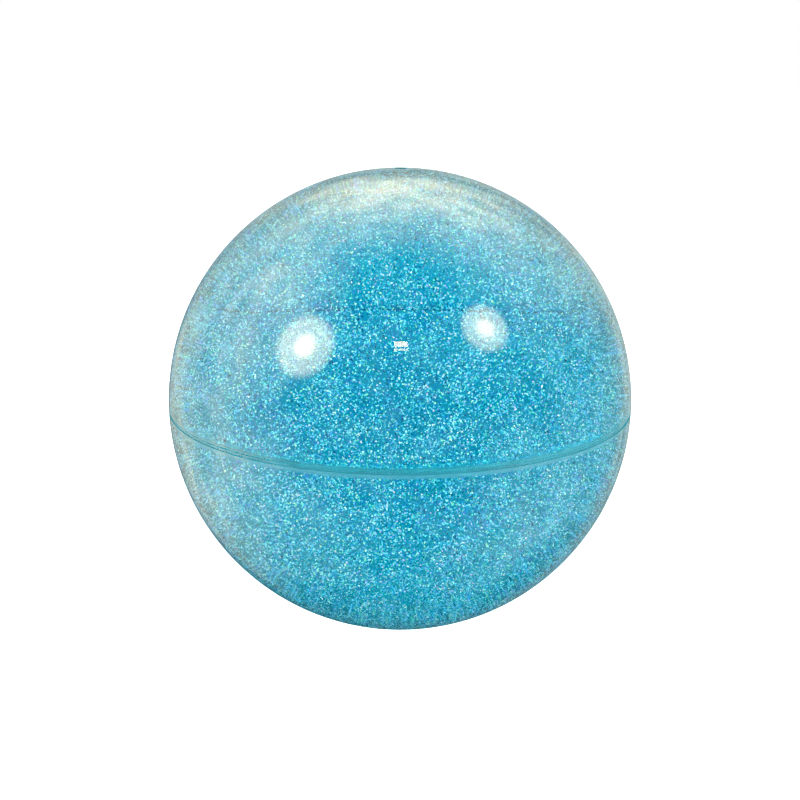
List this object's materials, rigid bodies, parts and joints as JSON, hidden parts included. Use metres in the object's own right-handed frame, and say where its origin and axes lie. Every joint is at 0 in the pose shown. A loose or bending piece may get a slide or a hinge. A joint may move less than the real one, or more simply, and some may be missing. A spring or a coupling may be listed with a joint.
{
  "type": "bouncy ball",
  "caption": "Clear rubber bouncing ball with a level seam round its middle, a plugged pole, and a sealed inner capsule of blue liquid and fine iridescent glitter.",
  "frame": {"origin": "centre of the ball", "axes": "+Z along the ball's axis, from the centre to the plugged pole; the seam lies in the XY plane"},
  "size_m": [0.1, 0.1, 0.1],
  "materials": {
    "cover_rubber": "clear glossy rubber",
    "seam_cement": "clear teal cement, glossy",
    "pole_rubber": "clear rubber, slightly dull",
    "capsule_plastic": "clear hard plastic, glossy",
    "lap_cement": "milky teal cement film",
    "plug_plastic": "clear hard plastic",
    "tinted_liquid": "clear blue liquid",
    "flake_pearl": "iridescent pearl white film",
    "flake_ice": "iridescent ice blue film",
    "flake_aqua": "iridescent aqua film",
    "flake_lilac": "iridescent lilac film",
    "flake_mint": "iridescent mint film"
  },
  "bodies": {
    "root": {"cover_upper_half": "cover_rubber", "cover_lower_half": "cover_rubber", "seam_cement_ring": "seam_cement", "pole_plug": "pole_rubber", "capsule_upper_half": "capsule_plastic", "capsule_lower_half": "capsule_plastic", "lap_cement_ring": "lap_cement", "fill_plug": "plug_plastic", "liquid_fill": "tinted_liquid", "glitter_pearl": "flake_pearl", "glitter_ice": "flake_ice", "glitter_aqua": "flake_aqua", "glitter_lilac": "flake_lilac", "glitter_mint": "flake_mint"}
  },
  "joints": []
}
